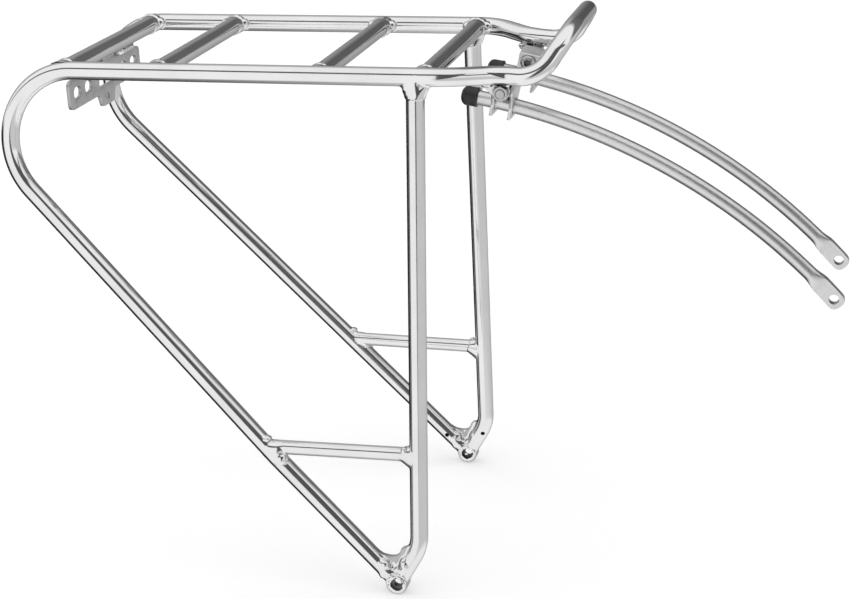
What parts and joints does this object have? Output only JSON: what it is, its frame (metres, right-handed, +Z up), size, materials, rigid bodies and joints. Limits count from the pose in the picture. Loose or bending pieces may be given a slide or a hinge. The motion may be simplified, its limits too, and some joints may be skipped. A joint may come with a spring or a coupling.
{
  "type": "bicycle rear rack",
  "caption": "Tubular steel bicycle rear rack with raised front hoop, splayed legs, rear-light plate and two curved, adjustable front stays in pivoting clamps.",
  "frame": {"origin": "midway between the two feet, on the line through their bolt holes", "axes": "+X forward along the platform towards the saddle, +Y to the rack's left, +Z up"},
  "size_m": [0.4628, 0.1864, 0.3152],
  "materials": {
    "polished_steel": "polished, bright",
    "satin_steel": "satin, fine blasted grain",
    "sheet_steel": "satin",
    "fastener_steel": "machined",
    "black_rubber": "smooth, dark"
  },
  "bodies": {
    "frame": {"front_hoop": "polished_steel", "rear_crossbar": "polished_steel", "second_crossbar": "polished_steel", "third_crossbar": "polished_steel", "front_crossbar": "polished_steel", "right_rail": "polished_steel", "right_rear_bend": "polished_steel", "right_rear_leg": "polished_steel", "right_front_leg": "polished_steel", "right_side_strut": "polished_steel", "right_foot_boss": "polished_steel", "right_foot_gusset": "polished_steel", "left_rail": "polished_steel", "left_rear_bend": "polished_steel", "left_rear_leg": "polished_steel", "left_front_leg": "polished_steel", "left_side_strut": "polished_steel", "left_foot_boss": "polished_steel", "left_foot_gusset": "polished_steel", "rear_light_plate": "sheet_steel", "right_stay_lug": "sheet_steel", "left_stay_lug": "sheet_steel", "right_clamp_bolt": "fastener_steel", "right_clamp_nut": "fastener_steel", "left_clamp_bolt": "fastener_steel", "left_clamp_nut": "fastener_steel"},
    "right_clamp": {"right_stay_clamp": "sheet_steel"},
    "right_stay_rod": {"right_stay": "satin_steel", "right_end_cap": "black_rubber"},
    "left_clamp": {"left_stay_clamp": "sheet_steel"},
    "left_stay_rod": {"left_stay": "satin_steel", "left_end_cap": "black_rubber"}
  },
  "joints": [
    {"name": "right_clamp_pivot", "type": "hinge", "parent": "frame", "child": "right_clamp", "pos_m": [0.05781, -0.0325, 0.27348], "axis": [0, 1, 0], "range_deg": [-25, 5]},
    {"name": "right_stay_slide", "type": "hinge", "parent": "right_clamp", "child": "right_stay_rod", "pos_m": [-0.0185, -0.0325, -0.0679], "axis": [0, 1, 0], "range_deg": [-10, 1.2]},
    {"name": "left_clamp_pivot", "type": "hinge", "parent": "frame", "child": "left_clamp", "pos_m": [0.05781, 0.0325, 0.27348], "axis": [0, 1, 0], "range_deg": [-25, 5]},
    {"name": "left_stay_slide", "type": "hinge", "parent": "left_clamp", "child": "left_stay_rod", "pos_m": [-0.0185, 0.0325, -0.0679], "axis": [0, 1, 0], "range_deg": [-10, 1.2]}
  ]
}
